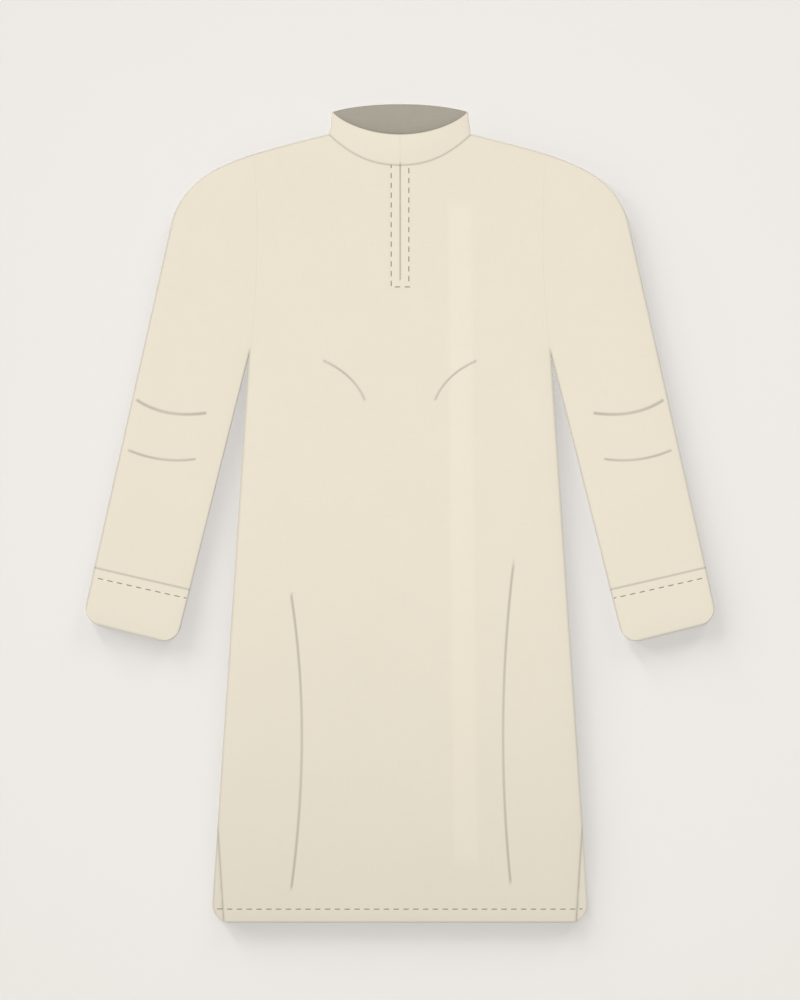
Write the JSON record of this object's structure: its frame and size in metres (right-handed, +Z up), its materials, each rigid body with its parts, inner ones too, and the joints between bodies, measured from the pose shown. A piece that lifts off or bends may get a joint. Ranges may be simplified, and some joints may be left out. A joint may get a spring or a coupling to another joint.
{
  "type": "kurta tunic",
  "caption": "Long-sleeved knee-length kurta tunic laid flat, with a band collar, a stitched neck placket, closed cuffs and side slits.",
  "frame": {"origin": "centre of the laid-out garment's box, on the surface it lies on", "axes": "+X towards the right-hand sleeve as seen from above, +Y from hem to collar, +Z up from the surface"},
  "size_m": [0.8154, 1.0616, 0.0169],
  "materials": {
    "cream_cotton": "matte",
    "cream_cotton_trim": "matte",
    "taupe_inner_band": "matte",
    "stitch_thread": "matte"
  },
  "bodies": {
    "root": {"back": "cream_cotton", "front": "cream_cotton", "placket": "cream_cotton_trim", "collar": "cream_cotton_trim", "sleeve_left": "cream_cotton", "sleeve_right": "cream_cotton", "cuff_left": "cream_cotton_trim", "cuff_right": "cream_cotton_trim"}
  },
  "joints": []
}
